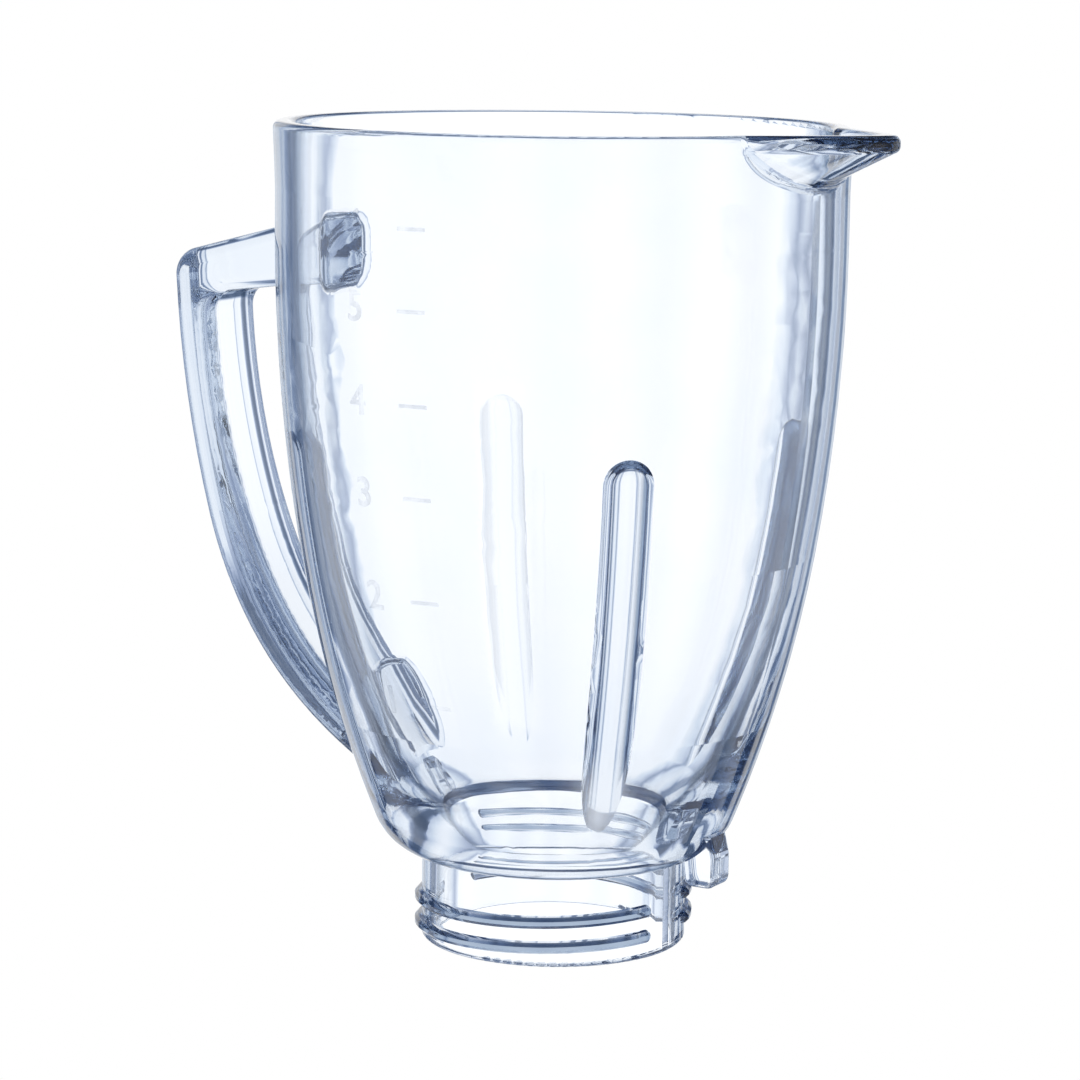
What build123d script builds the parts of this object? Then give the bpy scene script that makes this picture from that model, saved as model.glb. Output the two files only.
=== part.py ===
from build123d import *

import os
from math import cos, radians, sin, sqrt, tan

# Pressed-glass blender jar, one solid. The jar stands on its threaded neck: the origin is on the
# neck axis in the plane of the seal face, +Z points up to the mouth, the spout points along +X and
# the handle along -X. All sizes are in millimetres and degrees.

# Neck
neck_radius = 33.25
neck_height = 22.5
neck_wall = 3.75
seal_round = 1.0

# Shoulder and wall, outside
shoulder_ledge = 1.75
shoulder_reach = 11.95
shoulder_height = 9.0
waist_height = 99.5
waist_inset = 6.3
mouth_radius = 70.4
rim_height = 204.0
straight_height = 28.0
flare_height = 16.0
rim_flare = 0.6
rim_round = 1.8

# Wall thickness and the funnel above the neck
mouth_wall = 4.7
waist_wall = 5.0
funnel_reach = 18.0
funnel_rise = 35.5
floor_rise = 4.0
bore_round = 10.0

# Neck thread, one right-handed start, broken at the two mould seams
thread_pitch = 6.35
thread_count = 4
thread_arc = 146.0
thread_height = 1.75
thread_width = 3.6
thread_shoulder = 2.8
thread_crest = 1.0
thread_low = 3.3
thread_from = 197.0
thread_root = 0.4

# Stirring ribs on the inside of the wall
rib_count = 4
rib_first = 45.0
rib_top = 130.0
rib_round = 6.6
rib_depth = 4.0
rib_fade = 0.8

# Pouring spout
spout_reach = 19.0
spout_width = 62.0
spout_depth = 16.0
spout_root = 12.0
spout_slope = 2.1
spout_tip = 10.0
spout_sink = 1.8
keel_tip = 9.8
keel_sink = 3.85
lip_height = 3.7
lip_wall = 5.0
lip_round = 1.8
channel_tip = 7.0
channel_slope = 1.86
channel_sink = 3.5
floor_sink = 7.5
crease_round = 3.0

# Handle
handle_width = 23.0
handle_thickness = 12.5
handle_reach = 40.9
handle_drop = 26.5
handle_slope = 14.5
handle_bar = 16.4
bar_slope = 8.0
grip_lean = 2.0
grip_reach = 36.5
grip_height = 99.5
foot_reach = 12.4
foot_height = 41.9
foot_slope = 32.5
foot_thickness = 12.0
foot_run = 24.0
root_run = 25.0
handle_edge_round = 4.6
handle_corner = 7.0
gap_round = 5.0
root_round = 3.0

# Locking lugs under the shoulder
lug_width = 9.0
lug_overhang = 2.8
lug_depth = 8.5
lug_drop = 4.0
lug_rise = 9.0
lug_draft = 1.2
lug_chamfer = 5.0
lug_heel = 3.0
lug_toe = 2.5
lug_round = 1.5

overlap = 1.5

# What follows from the sizes above
neck_bore = neck_radius - neck_wall
base_radius = neck_radius + shoulder_reach
base_height = neck_height + shoulder_height
waist_radius = mouth_radius - waist_inset
straight_from = rim_height - straight_height
flare_from = rim_height - flare_height
rim_radius = mouth_radius + rim_flare
mouth_inside = mouth_radius - mouth_wall
waist_inside = waist_radius - waist_wall
funnel_radius = neck_bore + funnel_reach
funnel_height = neck_height + funnel_rise
floor_height = neck_height + floor_rise
keel_height = rim_height - spout_depth
lip_bottom = rim_height - lip_height
rim_beak = rim_radius + spout_reach
keel_beak = rim_beak - spout_slope * (lip_bottom - keel_height)
channel_beak = rim_beak - lip_wall
channel_keel = channel_beak - channel_slope * spout_depth
handle_top = rim_height - handle_drop
handle_outside = mouth_radius + handle_reach
gap_top = handle_top - handle_bar
gap_reach = handle_outside - handle_thickness
lug_reach = base_radius + lug_overhang
lug_top = neck_height + lug_rise
lug_bottom = neck_height - lug_drop


def wall_at(height, top_radius, mid_radius):
    """Radius of the arc that leaves the straight mouth and passes through the waist."""
    run = straight_from - waist_height
    drop = top_radius - mid_radius
    bend = (run * run + drop * drop) / (2.0 * drop)
    return top_radius - bend + sqrt(bend * bend - (straight_from - height) ** 2)


def beak_outline(reach, tip, wall, sink):
    """Points of the spout's plan: a hyperbola from its tip at reach to its sides, sunk in the wall."""
    half = spout_width / 2
    fall = reach + tip - (sqrt(wall * wall - half * half) - sink)
    slope = sqrt(fall * fall - tip * tip) / half
    sides = [half * step / 4.0 for step in range(-4, 5)]
    return [(reach + tip - sqrt((slope * y) ** 2 + tip * tip), y) for y in sides]


# Solid of the spout, a blunt keel low on the wall and a narrower beak at the lip, which is rounded
# underneath
with BuildPart() as beak:
    for level, outline in (
        (keel_height, (keel_beak, keel_tip, mouth_radius, keel_sink)),
        (lip_bottom, (rim_beak, spout_tip, rim_radius, spout_sink)),
        (rim_height, (rim_beak, spout_tip, rim_radius, spout_sink)),
    ):
        with BuildSketch(Plane.XY.offset(level)):
            with BuildLine():
                front = Spline(*beak_outline(*outline))
                Polyline(
                    front @ 1,
                    (front @ 1) - (spout_root, 0),
                    (front @ 0) - (spout_root, 0),
                    front @ 0,
                )
            make_face()
    loft(ruled=True)
    lip_curves = beak.edges().filter_by(GeomType.LINE, reverse=True).sort_by(Axis.X)[-2:]
    fillet(lip_curves.sort_by(Axis.Z)[0], radius=lip_round)

# Outside of the glass: neck, shoulder, wall, rim and spout
with BuildPart() as outside:
    with BuildSketch(Plane.XZ):
        with BuildLine():
            Polyline(
                (rim_radius, rim_height), (mouth_radius, flare_from), (mouth_radius, straight_from)
            )
            upper = TangentArc(
                (mouth_radius, straight_from), (waist_radius, waist_height), tangent=(0, -1)
            )
            lower = TangentArc(upper @ 1, (base_radius, base_height), tangent=upper % 1)
            corner = TangentArc(
                lower @ 1, (neck_radius + shoulder_ledge, neck_height), tangent=lower % 1
            )
            Polyline(
                corner @ 1,
                (neck_radius, neck_height),
                (neck_radius, 0),
                (0, 0),
                (0, rim_height),
                (rim_radius, rim_height),
            )
        make_face()
    revolve(axis=Axis.Z)
    add(beak.part)
    crease = outside.edges(Select.NEW).filter_by(lambda edge: (edge @ 0.5).X > waist_inside)
    fillet(crease, radius=crease_round)

# One rib: a round rod beside the hollow's wall, with a ball end at the top. Its lower end runs out
# where the funnel turns inward.
rib_centre = rib_round - rib_depth
rib_ball_height = rib_top - rib_round
rib_ball_radius = wall_at(rib_ball_height, mouth_inside, waist_inside) + rib_centre
with BuildPart() as rib:
    with BuildLine(Plane.XZ) as rib_path:
        rib_bend = ThreePointArc(
            (rib_ball_radius, rib_ball_height),
            (waist_inside + rib_centre, waist_height),
            (funnel_radius + rib_centre + rib_fade, funnel_height),
        )
        Line(rib_bend @ 1, (rib_bend @ 1) + (rib_bend % 1) * (funnel_height - neck_height))
    with BuildSketch(Plane(origin=rib_path.line @ 0, z_dir=rib_path.line % 0)):
        Circle(rib_round)
    sweep(path=rib_path.line)
    with Locations(rib_path.line @ 0):
        Sphere(rib_round)

# The hollow: mouth, wall, funnel and neck bore, with the ribs left standing and the spout's channel
with BuildPart() as hollow:
    with BuildSketch(Plane.XZ) as hollow_section:
        with BuildLine():
            Line((mouth_inside, rim_height), (mouth_inside, straight_from))
            upper = TangentArc(
                (mouth_inside, straight_from), (waist_inside, waist_height), tangent=(0, -1)
            )
            lower = TangentArc(upper @ 1, (funnel_radius, funnel_height), tangent=upper % 1)
            funnel = TangentArc(lower @ 1, (neck_bore, floor_height), tangent=lower % 1)
            Polyline(
                funnel @ 1,
                (neck_bore, -overlap),
                (0, -overlap),
                (0, rim_height),
                (mouth_inside, rim_height),
            )
        make_face()
        fillet(hollow_section.vertices().sort_by_distance(funnel @ 1)[0], radius=bore_round)
    revolve(axis=Axis.Z)
    for level, outline in (
        (keel_height, (channel_keel, keel_tip, mouth_inside, floor_sink)),
        (rim_height, (channel_beak, channel_tip, mouth_inside, channel_sink)),
    ):
        with BuildSketch(Plane.XY.offset(level)):
            with BuildLine():
                front = Spline(*beak_outline(*outline))
                Polyline(
                    front @ 1,
                    (front @ 1) - (spout_root, 0),
                    (front @ 0) - (spout_root, 0),
                    front @ 0,
                )
            make_face()
    loft(ruled=True)
    crease = hollow.edges(Select.NEW).filter_by(lambda edge: (edge @ 0.5).X > funnel_radius)
    fillet(crease, radius=crease_round)
    with PolarLocations(0, rib_count, start_angle=rib_first):
        add(rib.part, mode=Mode.SUBTRACT)

# Handle: an open hook in the plane of the spout, both sides rounded. Its two ends run on inside the
# wall, where the hollow trims them.
handle_fall = tan(radians(handle_slope))
bar_fall = tan(radians(bar_slope))
arm_end = -(mouth_radius - root_run)
lean = (sin(radians(grip_lean)), -cos(radians(grip_lean)))
foot_way = Vector(cos(radians(foot_slope)), -sin(radians(foot_slope)))
with BuildPart() as handle:
    with BuildSketch(Plane.XZ) as hook:
        with BuildLine():
            top = Line(
                (arm_end, handle_top + handle_fall * root_run),
                (-handle_outside, handle_top - handle_fall * handle_reach),
            )
            grip = TangentArc(
                top @ 1, (-(waist_radius + grip_reach), grip_height), tangent=lean
            )
            heel = Spline(
                grip @ 1,
                (-(base_radius + foot_reach), foot_height),
                tangents=[grip % 1, foot_way],
            )
            sole = Line(heel @ 1, (heel @ 1) + foot_way * foot_run)
            across = Vector(-foot_way.Y, foot_way.X) * foot_thickness
            foot = Line(sole @ 1, (sole @ 1) + across)
            instep = Line(foot @ 1, (foot @ 1) - foot_way * (foot_run - overlap))
            inner = Spline(
                instep @ 1,
                (
                    (grip @ 1).X + handle_thickness * abs((grip % 1).Y),
                    (grip @ 1).Y + handle_thickness * abs((grip % 1).X),
                ),
                (-gap_reach, gap_top - bar_fall * (gap_reach - mouth_radius)),
                tangents=[instep % 1, (-lean[0], -lean[1])],
            )
            bar = Line(inner @ 1, (arm_end, gap_top + bar_fall * root_run))
            Line(bar @ 1, top @ 0)
        make_face()
        fillet(hook.vertices().sort_by(Axis.X)[0], radius=handle_corner)
        fillet(hook.vertices().sort_by_distance(inner @ 1)[0], radius=gap_round)
    extrude(amount=handle_width / 2, both=True)
    fillet(handle.faces().filter_by(Axis.Y).edges(), radius=handle_edge_round)

# One lug, a rounded block standing down from the shoulder's corner
with BuildPart() as lug:
    with BuildSketch(Plane.XZ) as lug_outline:
        with BuildLine():
            Polyline(
                (lug_reach - lug_depth - lug_draft, lug_top),
                (lug_reach - lug_draft, lug_top),
                (lug_reach, lug_top - lug_chamfer),
                (lug_reach, lug_bottom),
                (lug_reach - lug_depth, lug_bottom),
                (lug_reach - lug_depth - lug_draft, lug_top - lug_heel),
                close=True,
            )
        make_face()
        fillet(lug_outline.vertices().group_by(Axis.Y)[0], radius=lug_toe)
    extrude(amount=lug_width / 2, both=True)
    fillet(lug.faces().filter_by(Axis.Y).edges(), radius=lug_round)

# One length of the thread: a blunt ridge that climbs half of the neck, with a dome at each end
thread_rise = thread_pitch * thread_arc / 360
thread_section = [
    (-thread_root, thread_width / 2),
    (thread_height / 2, thread_shoulder / 2),
    (thread_height, thread_crest / 2),
]
with BuildPart() as thread_end:
    with BuildSketch(Plane.XZ):
        with BuildLine():
            Polyline(
                (neck_radius - thread_root, 0),
                *[(neck_radius + out, up) for out, up in thread_section],
                (neck_radius + thread_height, 0),
                close=True,
            )
        make_face()
    revolve(axis=Axis.X)
with BuildPart() as thread:
    with BuildLine() as thread_path:
        Helix(pitch=thread_pitch, height=thread_rise, radius=neck_radius)
    with BuildSketch(
        Plane(origin=thread_path.line @ 0, x_dir=(1, 0, 0), z_dir=thread_path.line % 0)
    ):
        with BuildLine():
            Polyline(
                *[(out, -up) for out, up in thread_section],
                *[(out, up) for out, up in reversed(thread_section)],
                close=True,
            )
        make_face()
    sweep(path=thread_path.line, is_frenet=True)
    with Locations(Location(), Location((0, 0, thread_rise), (0, 0, thread_arc))):
        add(thread_end.part)

with BuildPart() as glass_jar:
    add(outside.part)
    add(handle.part)
    fillet(glass_jar.edges(Select.NEW), radius=root_round)
    with PolarLocations(0, 2):
        add(lug.part)
    for step in range(thread_count):
        with Locations(
            Location(
                (0, 0, thread_low + step * thread_pitch / 2), (0, 0, thread_from + step * 180)
            )
        ):
            add(thread.part)
    add(hollow.part, mode=Mode.SUBTRACT)
    rim_face = glass_jar.faces().filter_by(Axis.Z).sort_by(Axis.Z)[-1]
    fillet(rim_face.edges(), radius=rim_round)
    fillet(glass_jar.faces().sort_by(Axis.Z)[0].edges(), radius=seal_round)

os.makedirs("parts", exist_ok=True)
glass_jar.part.label = "glass_jar"
export_step(glass_jar.part, "parts/glass_jar.step")
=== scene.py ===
"""Looks of a pressed-glass blender jar: its glass, the cup marks on its wall, and a white studio."""

import logging
import math
from dataclasses import dataclass
from enum import Enum
from typing import Any, Optional, Union

import bpy
from mathutils import Matrix, Vector


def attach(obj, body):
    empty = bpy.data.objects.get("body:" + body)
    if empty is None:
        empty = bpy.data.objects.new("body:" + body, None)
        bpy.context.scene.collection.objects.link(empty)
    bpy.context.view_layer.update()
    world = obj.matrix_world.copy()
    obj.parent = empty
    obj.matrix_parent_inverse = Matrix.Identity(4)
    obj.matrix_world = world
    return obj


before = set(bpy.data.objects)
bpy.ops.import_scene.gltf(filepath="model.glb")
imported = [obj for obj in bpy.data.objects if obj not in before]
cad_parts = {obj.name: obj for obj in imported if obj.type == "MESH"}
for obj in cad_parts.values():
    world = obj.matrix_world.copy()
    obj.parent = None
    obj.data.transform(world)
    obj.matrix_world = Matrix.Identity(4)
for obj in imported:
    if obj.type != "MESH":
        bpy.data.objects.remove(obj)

log = logging.getLogger("blender_jar")

Value = Union["Socket", float]
Triple = tuple[float, float, float]
Tones = tuple[tuple[float, Triple], ...]
Stops = tuple[tuple[float, float], ...]

UP: Triple = (0.0, 0.0, 1.0)
WHITE = (1.0, 1.0, 1.0, 1.0)


class Operation(Enum):
    """Operations of the Math nodes, by Blender's names."""

    ADD = "ADD"
    SUBTRACT = "SUBTRACT"
    MULTIPLY = "MULTIPLY"
    DIVIDE = "DIVIDE"
    BEARING = "ARCTAN2"
    WAVE = "COSINE"
    SIZE = "ABSOLUTE"


class Socket:
    """One output of a shader node, with Python's operators as Math nodes."""

    def __init__(self, tree: "NodeTree", output: bpy.types.NodeSocket) -> None:
        """Keeps the output and the tree that new nodes go to.

        Args:
            tree: The tree that the output belongs to.
            output: The node output that this object stands for.
        """
        self.tree = tree
        self.output = output

    def _math(self, operation: Operation, first: Value, second: Value = 0.0) -> "Socket":
        """Adds one Math node.

        Args:
            operation: What the node works out.
            first: Its first input.
            second: Its second input, where the operation has one.

        Returns:
            The node's result.
        """
        return self.tree.node("ShaderNodeMath", {"operation": operation.value}, {0: first, 1: second})

    def __add__(self, other: Value) -> "Socket":
        """Sum."""
        return self._math(Operation.ADD, self, other)

    __radd__ = __add__

    def __sub__(self, other: Value) -> "Socket":
        """Difference."""
        return self._math(Operation.SUBTRACT, self, other)

    def __rsub__(self, other: Value) -> "Socket":
        """Difference, the other way round."""
        return self._math(Operation.SUBTRACT, other, self)

    def __mul__(self, other: Value) -> "Socket":
        """Product."""
        return self._math(Operation.MULTIPLY, self, other)

    __rmul__ = __mul__

    def __truediv__(self, other: Value) -> "Socket":
        """Quotient."""
        return self._math(Operation.DIVIDE, self, other)

    def __rtruediv__(self, other: Value) -> "Socket":
        """Quotient, the other way round."""
        return self._math(Operation.DIVIDE, other, self)

    def bearing(self, forward: Value) -> "Socket":
        """Angle of (forward, self) in radians, positive towards self."""
        return self._math(Operation.BEARING, self, forward)

    def wave(self) -> "Socket":
        """Cosine of an angle in radians."""
        return self._math(Operation.WAVE, self)

    def size(self) -> "Socket":
        """Value without its sign."""
        return self._math(Operation.SIZE, self)

    def step(self, low: float, high: float) -> "Socket":
        """Smooth rise from 0 at low to 1 at high.

        Args:
            low: Value where the rise starts.
            high: Value where it ends.

        Returns:
            The rise, from 0 to 1.
        """
        return self.tree.node(
            "ShaderNodeMapRange",
            {"interpolation_type": "SMOOTHSTEP", "clamp": True},
            {"Value": self, "From Min": low, "From Max": high, "To Min": 0.0, "To Max": 1.0},
        )

    def within(self, low: float, high: float, rise: float, fall: float) -> "Socket":
        """Smooth plateau of 1 between two values.

        Args:
            low: Value where the rise starts.
            high: Value where the fall ends.
            rise: Length of the rise.
            fall: Length of the fall.

        Returns:
            The plateau, from 0 to 1.
        """
        return self.step(low, low + rise) * (1.0 - self.step(high - fall, high))


class NodeTree:
    """A shader tree that nodes are added to by type."""

    def __init__(self, tree: bpy.types.NodeTree) -> None:
        """Empties the tree.

        Args:
            tree: The node tree of a material or a world.
        """
        self.tree = tree
        tree.nodes.clear()

    def node(
        self,
        kind: str,
        settings: Optional[dict[str, Any]] = None,
        inputs: Optional[dict[Union[str, int], Any]] = None,
        output: Union[str, int] = 0,
    ) -> Socket:
        """Adds a node, sets it up and joins its inputs.

        Args:
            kind: Blender's type name of the node.
            settings: Properties of the node, set first. The stops of a ramp are (place, colour) pairs.
            inputs: A value or a Socket for each input, by name or number.
            output: The output that is wanted, by name or number.

        Returns:
            The wanted output.
        """
        made = self.tree.nodes.new(kind)
        for name, value in (settings or {}).items():
            if name == "stops":
                self._stops(made.color_ramp, value)
            else:
                setattr(made, name, value)
        for name, value in (inputs or {}).items():
            socket = made.inputs[name]
            if isinstance(value, Socket):
                self.tree.links.new(value.output, socket)
            else:
                socket.default_value = value
        return Socket(self, made.outputs[output]) if made.outputs else Socket(self, None)

    def ramp(self, place: Socket, stops: list[tuple[float, Triple]]) -> Socket:
        """Adds a colour ramp.

        Args:
            place: Where on the ramp, from 0 to 1.
            stops: Place and colour of each stop, from the left.

        Returns:
            The colour.
        """
        return self.node(
            "ShaderNodeValToRGB", {"stops": [(at, (*rgb, 1.0)) for at, rgb in stops]}, {"Fac": place}
        )

    def grey(self, colour: Socket) -> Socket:
        """Brightness of a colour."""
        return self.node("ShaderNodeRGBToBW", {}, {0: colour})

    def times(self, first: Socket, second: Socket) -> Socket:
        """Adds a node that multiplies two colours.

        Args:
            first: One colour.
            second: The other colour.

        Returns:
            Their product.
        """
        return self.node(
            "ShaderNodeMix",
            {"data_type": "RGBA", "blend_type": "MULTIPLY"},
            {0: 1.0, 6: first, 7: second},
            2,
        )

    def along(self, way: Socket, axis: Triple) -> Socket:
        """How far a direction goes along an axis.

        Args:
            way: The direction.
            axis: The axis, of length 1.

        Returns:
            Their dot product.
        """
        return self.node("ShaderNodeVectorMath", {"operation": "DOT_PRODUCT"}, {0: way, 1: axis}, "Value")

    @staticmethod
    def _stops(ramp: bpy.types.ColorRamp, stops: list[tuple[float, tuple[float, ...]]]) -> None:
        """Gives a colour ramp its stops.

        Args:
            ramp: The ramp to fill.
            stops: Place and colour of each stop, from the left.
        """
        while len(ramp.elements) < len(stops):
            ramp.elements.new(0.5)
        for element, (place, colour) in zip(ramp.elements, stops):
            element.position = place
            element.color = colour


@dataclass(frozen=True)
class PaintedLightFade:
    """Patch of the glass made partly see-through: painted light, as if a light behind it washed it out.

    Its bearing is in degrees from the spout, and its sizes are in metres from the jar's axis and foot.
    """

    bearing: float
    half_width: float
    low: float
    high: float
    soft: float
    left: float
    nearest: float = 0.015
    farthest: float = 0.2
    edge: float = 0.001


@dataclass(frozen=True)
class PressedGlass:
    """Clear soda glass as it comes from the mould, faintly blue in the depth, with a slight ripple, its
    colour darkened by painted shade along its edges, crests and rib flanks and thinned by painted light in
    two patches.
    """

    clear: Triple = (1.0, 1.0, 1.0)
    cloudy: Triple = (0.975, 0.987, 1.0)
    roughness: float = 0.0
    ior: float = 1.5
    mirror: float = 0.25
    # Painted shade: the colour darkens to slate where the glass is seen edge-on, along every edge and
    # silhouette.
    painted_edge_shade_tones: Tones = (
        (0.64, (1.0, 1.0, 1.0)),
        (0.72, (0.55, 0.63, 0.75)),
        (0.79, (0.1, 0.15, 0.24)),
        (1.0, (0.04, 0.07, 0.12)),
    )
    # Painted shade for the thread's crests and the ribs' flanks.
    painted_crest_shade_tone: Triple = (0.13, 0.19, 0.3)
    thread_foot: float = 0.0337
    thread_crest: float = 0.0346
    thread_top: float = 0.0195
    thread_soft: float = 0.001
    rib_flank: tuple[float, float] = (0.003, 0.0042)
    rib_proud: tuple[float, float] = (0.0004, 0.0009)
    rib_low: float = 0.036
    rib_high: float = 0.131
    rib_rise: float = 0.014
    rib_fall: float = 0.003
    inside_wall: Stops = (
        (0.04, 0.0376), (0.0575, 0.0475), (0.075, 0.0533),
        (0.0995, 0.0591), (0.115, 0.0615), (0.132, 0.0635),
    )
    wall_height_scale: float = 5.0
    wall_radius_scale: float = 10.0
    depth_colour: Triple = (0.31, 0.45, 0.62)
    depth_density: float = 16.0
    cloud_size: float = 0.03
    cloud_range: tuple[float, float] = (0.35, 0.7)
    ripple_across: float = 0.012
    ripple_along: float = 0.05
    ripple_height: float = 0.00002
    # Painted light: the far rib and the near rib's lower end are made partly see-through, as if washed out
    # by the light behind them.
    painted_light_fades: tuple[PaintedLightFade, ...] = (
        PaintedLightFade(135.0, 0.0085, 0.038, 0.134, 0.004, 0.25),
        PaintedLightFade(-45.0, 0.0095, 0.028, 0.06, 0.014, 0.12, 0.015, 0.046),
    )

    def build(self, name: str) -> bpy.types.Material:
        """Makes the material.

        Args:
            name: Name of the material.

        Returns:
            The new material.
        """
        material = bpy.data.materials.new(name)
        material.use_nodes = True
        tree = NodeTree(material.node_tree)
        place = tree.node("ShaderNodeTexCoord", {}, {}, "Object")
        cloud = tree.node(
            "ShaderNodeTexNoise", {}, {"Vector": place, "Scale": 1.0 / self.cloud_size, "Detail": 3.0}
        )
        mottle = tree.ramp(cloud.step(*self.cloud_range), [(0.0, self.clear), (1.0, self.cloudy)])
        # Painted edge shade, darkening the colour towards slate at grazing angles.
        facing = tree.node("ShaderNodeLayerWeight", {}, {"Blend": 0.5}, "Facing")
        painted_edge_shade = tree.ramp(facing, list(self.painted_edge_shade_tones))
        # Painted shade on the thread's crests and the ribs' flanks.
        painted_crest_shade = tree.ramp(self._painted_crest_shade_mask(tree, place), [(0.0, self.clear), (1.0, self.painted_crest_shade_tone)])
        tint = tree.times(tree.times(mottle, painted_edge_shade), painted_crest_shade)
        drawn = tree.node(
            "ShaderNodeVectorMath",
            {"operation": "MULTIPLY"},
            {0: place, 1: (1.0 / self.ripple_across, 1.0 / self.ripple_across, 1.0 / self.ripple_along)},
        )
        ripple = tree.node("ShaderNodeTexNoise", {}, {"Vector": drawn, "Scale": 1.0, "Detail": 2.0})
        relief = tree.node(
            "ShaderNodeBump", {}, {"Height": ripple, "Strength": 1.0, "Distance": self.ripple_height}
        )
        # Alpha lowered where painted light washes the glass out.
        body = 1.0 - self._painted_washout(tree, place)
        glass = tree.node(
            "ShaderNodeBsdfPrincipled",
            {},
            {
                "Base Color": tint,
                "Roughness": self.roughness,
                "IOR": self.ior,
                "Alpha": body,
                "Specular IOR Level": self.mirror,
                "Transmission Weight": 1.0,
                "Normal": relief,
            },
        )
        depth = tree.node(
            "ShaderNodeVolumeAbsorption",
            {},
            {"Color": (*self.depth_colour, 1.0), "Density": self.depth_density},
        )
        tree.node("ShaderNodeOutputMaterial", {}, {"Surface": glass, "Volume": depth})
        return material

    def _painted_crest_shade_mask(self, tree: NodeTree, place: Socket) -> Socket:
        """Finds the thread's crests and the ribs' flanks, where painted shade darkens the colour most.

        Args:
            tree: The material's tree.
            place: Object coordinates.

        Returns:
            1 on a crest or a flank, 0 elsewhere.
        """
        height = tree.along(place, UP)
        flat = tree.node("ShaderNodeVectorMath", {"operation": "MULTIPLY"}, {0: place, 1: (1.0, 1.0, 0.0)})
        radius = tree.node("ShaderNodeVectorMath", {"operation": "LENGTH"}, {0: flat}, "Value")
        thread = radius.step(self.thread_foot, self.thread_crest)
        thread = thread * (1.0 - height.step(self.thread_top - self.thread_soft, self.thread_top))
        up, out = self.wall_height_scale, self.wall_radius_scale
        wall = tree.ramp(height * up, [(z * up, (r * out,) * 3) for z, r in self.inside_wall])
        along_x = tree.along(place, (1.0, 0.0, 0.0)).size()
        along_y = tree.along(place, (0.0, 1.0, 0.0)).size()
        aside = (along_x - along_y).size() * math.sqrt(0.5)
        rib = (tree.grey(wall) / out - radius).step(*self.rib_proud) * aside.step(*self.rib_flank)
        rib = rib * height.within(self.rib_low, self.rib_high, self.rib_rise, self.rib_fall)
        return thread + rib

    def _painted_washout(self, tree: NodeTree, place: Socket) -> Socket:
        """Works out how far painted light washes out each point of the glass, making it see-through.

        Args:
            tree: The material's tree.
            place: Object coordinates.

        Returns:
            0 where the glass is seen in full, rising to 1 less what a fade leaves.
        """
        height = tree.along(place, UP)
        painted_washout_total: Value = 0.0
        for fade in self.painted_light_fades:
            turn = math.radians(fade.bearing)
            out = tree.along(place, (math.cos(turn), math.sin(turn), 0.0))
            aside = tree.along(place, (-math.sin(turn), math.cos(turn), 0.0)).size()
            patch = out.within(
                fade.nearest - fade.edge, fade.farthest + fade.edge, 2 * fade.edge, 2 * fade.edge
            )
            patch = patch * (1.0 - aside.step(fade.half_width - fade.soft, fade.half_width))
            patch = patch * height.within(fade.low, fade.high, fade.soft, fade.soft)
            painted_washout_total = patch * (1.0 - fade.left) + painted_washout_total
        return painted_washout_total


@dataclass(frozen=True)
class RaisedGlass:
    """Thin raised marks, semi-transparent and tinted slate: painted shade standing in for the shade that
    raised glass shows along its edges, patchy at random.
    """

    # Both tones are painted shade, one deeper and one paler.
    shade: Triple = (0.42, 0.5, 0.64)
    pale: Triple = (0.66, 0.72, 0.82)
    thinnest: float = 0.03
    thickest: float = 0.16
    patch_size: float = 0.004
    patch_range: tuple[float, float] = (0.3, 0.7)
    roughness: float = 0.25

    def build(self, name: str) -> bpy.types.Material:
        """Makes the material.

        Args:
            name: Name of the material.

        Returns:
            The new material.
        """
        material = bpy.data.materials.new(name)
        material.use_nodes = True
        tree = NodeTree(material.node_tree)
        place = tree.node("ShaderNodeTexCoord", {}, {}, "Object")
        patch = tree.node(
            "ShaderNodeTexNoise", {}, {"Vector": place, "Scale": 1.0 / self.patch_size, "Detail": 2.0}
        )
        # Random patches where the painted shade is deeper and less see-through.
        patchy_painted_shade = patch.step(*self.patch_range)
        tint = tree.ramp(patchy_painted_shade, [(0.0, self.pale), (1.0, self.shade)])
        glass = tree.node(
            "ShaderNodeBsdfPrincipled",
            {},
            {
                "Base Color": tint,
                "Roughness": self.roughness,
                "Alpha": patchy_painted_shade * (self.thickest - self.thinnest) + self.thinnest,
            },
        )
        tree.node("ShaderNodeOutputMaterial", {}, {"Surface": glass})
        return material


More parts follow.
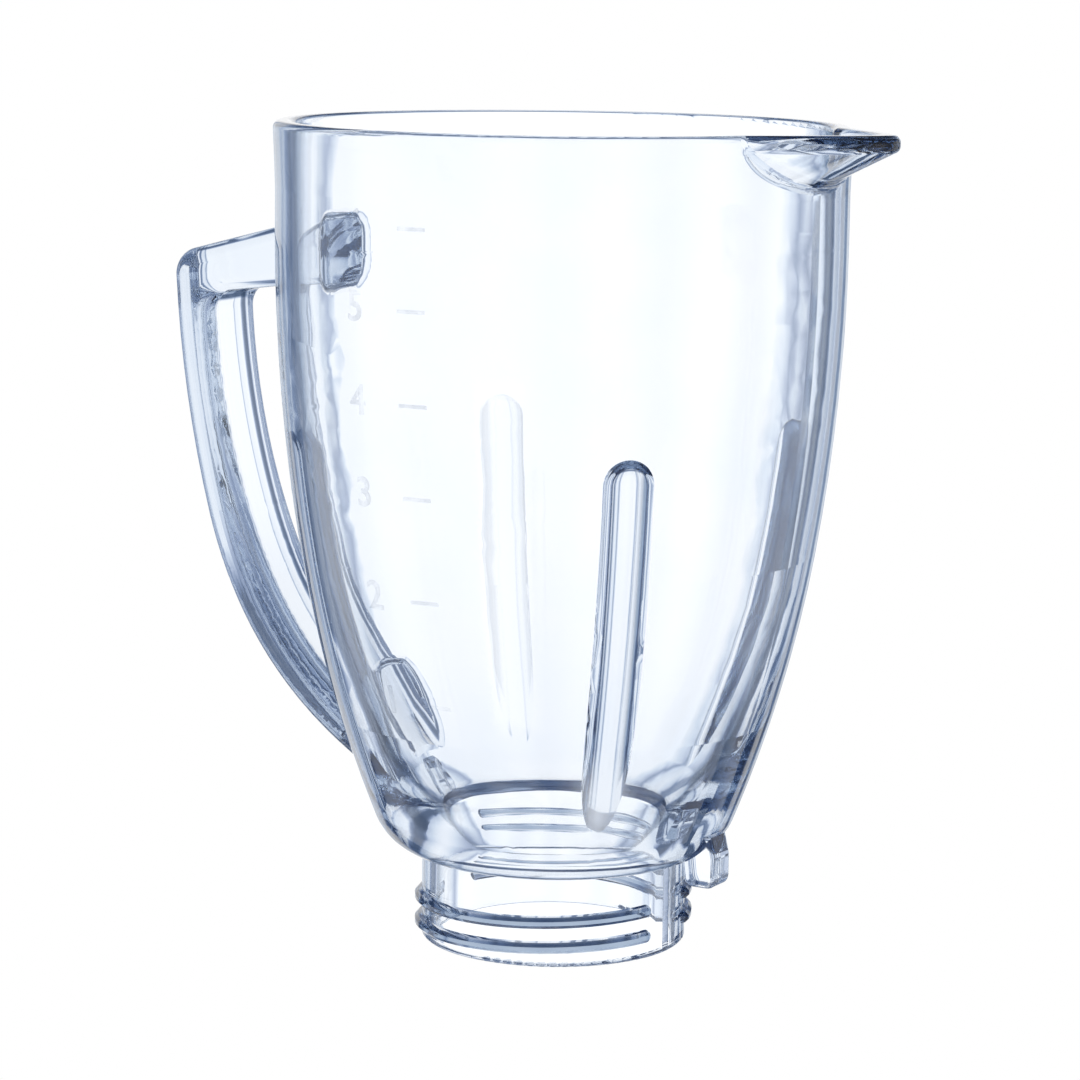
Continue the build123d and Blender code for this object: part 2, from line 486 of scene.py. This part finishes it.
@dataclass
class CupMarks:
    """Raised cup numbers and their ticks, outside on the wall between the handle and the front."""

    heights: tuple[tuple[str, float], ...] = (
        ("6", 0.182), ("5", 0.163), ("4", 0.141), ("3", 0.119), ("2", 0.094), ("1", 0.068),
    )
    bearing: float = -102.5
    text_size: float = 0.0102
    tick_bearing: float = -89.0
    tick_length: float = 0.0075
    tick_width: float = 0.0009
    relief: float = 0.0003
    edge: float = 0.0001
    edge_segments: int = 2
    smooth_angle: float = 30.0
    outside: float = 0.2

    def build(self, jar: bpy.types.Object) -> None:
        """Makes every number and tick on the wall.

        Args:
            jar: The jar that the marks stand on.
        """
        # The marks' finish is a slate tint of painted shade.
        finish = RaisedGlass().build("raised_glass_painted_shade")
        for number, height in self.heights:
            self._settle(self._number(number), f"cup_number_{number}", jar, self.bearing, height, finish)
        first = self._tick()
        for count, (number, height) in enumerate(self.heights):
            tick = first
            if count < len(self.heights) - 1:
                bpy.ops.object.select_all(action="DESELECT")
                first.select_set(True)
                bpy.context.view_layer.objects.active = first
                bpy.ops.object.duplicate(linked=False)
                tick = bpy.context.object
            self._settle(tick, f"cup_tick_{number}", jar, self.tick_bearing, height, finish)

    def _number(self, number: str) -> bpy.types.Object:
        """Models one number, flat and centred on the origin.

        Args:
            number: The number to write.

        Returns:
            The number as a mesh.
        """
        bpy.ops.object.select_all(action="DESELECT")
        bpy.ops.object.text_add(location=(0.0, 0.0, 0.0))
        text = bpy.context.object
        text.data.body = number
        text.data.align_x = "CENTER"
        text.data.align_y = "CENTER"
        text.data.size = self.text_size
        text.data.extrude = self.relief / 2
        text.data.bevel_depth = self.edge
        text.data.bevel_resolution = self.edge_segments
        bpy.ops.object.convert(target="MESH")
        return bpy.context.object

    def _tick(self) -> bpy.types.Object:
        """Models one tick, flat and centred on the origin."""
        bpy.ops.object.select_all(action="DESELECT")
        bpy.ops.mesh.primitive_cube_add(size=1.0)
        bpy.ops.object.mode_set(mode="EDIT")
        bpy.ops.transform.resize(value=(self.tick_length, self.tick_width, self.relief))
        bpy.ops.mesh.bevel(offset=self.edge, segments=self.edge_segments, affect="EDGES")
        bpy.ops.object.mode_set(mode="OBJECT")
        return bpy.context.object

    def _settle(
        self,
        piece: bpy.types.Object,
        name: str,
        jar: bpy.types.Object,
        bearing: float,
        height: float,
        finish: bpy.types.Material,
    ) -> None:
        """Lays a mark on the wall and gives it its finish.

        Args:
            piece: The mark, flat and centred on the origin.
            name: Its name.
            jar: The jar that it stands on.
            bearing: Where it goes around the jar, in degrees from the spout.
            height: How high it goes, in metres.
            finish: Its material.
        """
        turn = math.radians(bearing)
        out = Vector((math.cos(turn), math.sin(turn), 0.0))
        start = out * self.outside + Vector((0.0, 0.0, height))
        _, place, normal, _ = jar.ray_cast(start, -out)
        right = Vector((-out.y, out.x, 0.0))
        up = normal.cross(right).normalized()
        place = place + normal * (self.relief / 2)
        piece.matrix_world = Matrix(
            (
                (right.x, up.x, normal.x, place.x),
                (right.y, up.y, normal.y, place.y),
                (right.z, up.z, normal.z, place.z),
                (0.0, 0.0, 0.0, 1.0),
            )
        )
        bpy.ops.object.select_all(action="DESELECT")
        piece.select_set(True)
        bpy.context.view_layer.objects.active = piece
        bpy.ops.object.transform_apply(location=True, rotation=True, scale=True)
        bpy.ops.object.shade_smooth_by_angle(angle=math.radians(self.smooth_angle))
        piece.name = name
        piece.data.name = name
        piece.data.materials.clear()
        piece.data.materials.append(finish)
        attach(piece, "root")
        log.info("%s at %.0f mm", name, height * 1000)


@dataclass
class Studio:
    """White sweep, a panel with dark strips behind the jar, a softer ring around it, and the camera."""

    azimuth: float = 30.4
    elevation: float = 9.12
    distance: float = 0.9
    target_height: float = 0.102
    focal_pixels: float = 3616.0
    frame_pixels: float = 1080.0
    roll: float = 0.76
    offset_pixels: tuple[float, float] = (18.1, -5.8)
    sensor: float = 36.0
    clip: tuple[float, float] = (0.01, 50.0)
    floor_size: float = 6.0
    floor_sides: int = 96
    white: float = 1.2
    tones: Tones = (
        (0.0, (0.035, 0.06, 0.11)),
        (0.25, (0.2, 0.26, 0.39)),
        (0.5, (0.44, 0.5, 0.63)),
        (0.75, (0.7, 0.76, 0.84)),
        (1.0, (1.0, 1.0, 1.0)),
    )
    bounces: int = 48
    backdrop: Stops = (
        (-46, 0.7), (-43, 0.1), (-35, 0.1), (-31, 0.3), (-28, 0.95), (-20, 0.92), (-13, 0.88), (-11.8, 0.4),
        (-11, 0.45), (-10.3, 1.0), (9.6, 1.0), (10.2, 0.3), (11.3, 0.3), (12.8, 0.8), (17, 0.9),
        (19.5, 0.7), (21, 0.2), (25.5, 0.2), (27, 0.9), (34, 0.9), (35.5, 0.06), (44, 0.06), (47, 0.85),
        (68, 0.9),
    )
    tiers: Stops = (
        (-90, 0.9), (-45, 0.85), (-41, 0.1), (-34, 0.1), (-29, 0.97),
        (15, 1.0), (23, 0.1), (65, 0.1), (90, 0.7),
    )
    panel_edge: float = 1.0
    around_mean: float = 0.68
    around_swing: float = 0.27
    around_first: float = 30.4
    around_count: float = 8.0
    surround: Stops = (
        (-90, 1.0), (-12, 1.0), (10, 0.9), (22, 0.35), (65, 0.35), (90, 0.8),
    )

    def aim(self) -> None:
        """Makes the camera at the photograph's angle."""
        turn, lift, roll = (math.radians(a) for a in (self.azimuth, self.elevation, self.roll))
        back = Vector(
            (math.sin(turn) * math.cos(lift), -math.cos(turn) * math.cos(lift), math.sin(lift))
        )
        right = Vector((math.cos(turn), math.sin(turn), 0.0))
        up = back.cross(right)
        tilted = right * math.cos(roll) + up * math.sin(roll)
        top = up * math.cos(roll) - right * math.sin(roll)
        bpy.ops.object.camera_add()
        camera = bpy.context.object
        camera.name = "camera"
        place = Vector((0.0, 0.0, self.target_height)) + back * self.distance
        camera.matrix_world = Matrix(
            (
                (tilted.x, top.x, back.x, place.x),
                (tilted.y, top.y, back.y, place.y),
                (tilted.z, top.z, back.z, place.z),
                (0.0, 0.0, 0.0, 1.0),
            )
        )
        lens = camera.data
        lens.sensor_width = self.sensor
        lens.lens = self.focal_pixels / self.frame_pixels * self.sensor
        lens.shift_x = -self.offset_pixels[0] / self.frame_pixels
        lens.shift_y = self.offset_pixels[1] / self.frame_pixels
        lens.clip_start, lens.clip_end = self.clip
        bpy.context.scene.camera = camera

    def light(self) -> None:
        """Lights the room: white to see through the glass, slate strips for its dark edges."""
        world = bpy.data.worlds.new("studio")
        bpy.context.scene.world = world
        world.use_nodes = True
        tree = NodeTree(world.node_tree)
        turn = math.radians(self.azimuth)
        way = tree.node("ShaderNodeTexCoord", {}, {}, "Generated")
        across = tree.along(way, (math.cos(turn), math.sin(turn), 0.0))
        ahead = tree.along(way, (-math.sin(turn), math.cos(turn), 0.0))
        climb = tree.along(way, UP)
        bearing = across.bearing(ahead) * (180.0 / math.pi)
        near = tree.ramp(bearing / 360.0 + 0.5, [(0.5 + d / 360.0, (v, v, v)) for d, v in self.backdrop])
        low, high = self.backdrop[0][0], self.backdrop[-1][0]
        inside = bearing.within(low, high, self.panel_edge, self.panel_edge)
        tier, beyond = (
            tree.ramp(
                climb * 0.5 + 0.5,
                [(0.5 + 0.5 * math.sin(math.radians(d)), (v, v, v)) for d, v in stops],
            )
            for stops in (self.tiers, self.surround)
        )
        wave = ((bearing - self.around_first) * (self.around_count * math.pi / 180.0)).wave()
        panels = (wave * self.around_swing + self.around_mean) * tree.grey(beyond)
        level = tree.grey(near) * tree.grey(tier) * inside + panels * (1.0 - inside)
        colour = tree.ramp(level, list(self.tones))
        room = tree.node("ShaderNodeBackground", {}, {"Color": colour, "Strength": self.white})
        sweep = tree.node("ShaderNodeBackground", {}, {"Color": WHITE, "Strength": 1.0})
        seen = tree.node("ShaderNodeLightPath", {}, {}, "Is Camera Ray")
        mixed = tree.node("ShaderNodeMixShader", {}, {0: seen, 1: room, 2: sweep})
        tree.node("ShaderNodeOutputWorld", {}, {"Surface": mixed})

    def floor(self) -> None:
        """Lays a plain white floor."""
        bpy.ops.object.select_all(action="DESELECT")
        bpy.ops.mesh.primitive_circle_add(
            vertices=self.floor_sides,
            radius=self.floor_size / 2,
            fill_type="NGON",
            location=(0.0, 0.0, 0.0),
        )
        floor = bpy.context.object
        floor.name = "floor"
        material = bpy.data.materials.new("white_floor")
        material.use_nodes = True
        tree = NodeTree(material.node_tree)
        glow = tree.node("ShaderNodeEmission", {}, {"Color": WHITE, "Strength": 1.0})
        tree.node("ShaderNodeOutputMaterial", {}, {"Surface": glow})
        floor.data.materials.append(material)
        floor.visible_transmission = False
        floor.visible_glossy = False

    def build(self) -> None:
        """Sets up the whole studio."""
        self.floor()
        self.light()
        self.aim()
        scene = bpy.context.scene
        scene.view_settings.view_transform = "Standard"
        scene.cycles.max_bounces = self.bounces
        scene.cycles.transmission_bounces = self.bounces
        scene.cycles.glossy_bounces = self.bounces
        log.info("studio ready")


def main() -> None:
    """Dresses the jar and sets up the studio around it."""
    logging.basicConfig(level=logging.INFO, format="%(name)s: %(message)s")
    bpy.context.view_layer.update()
    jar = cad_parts["glass_jar"]
    jar.data.materials.clear()
    jar.data.materials.append(PressedGlass().build("clear_glass_body"))
    log.info("jar dressed, %d faces", len(jar.data.polygons))
    CupMarks().build(jar)
    Studio().build()


if __name__ == "__main__":
    main()
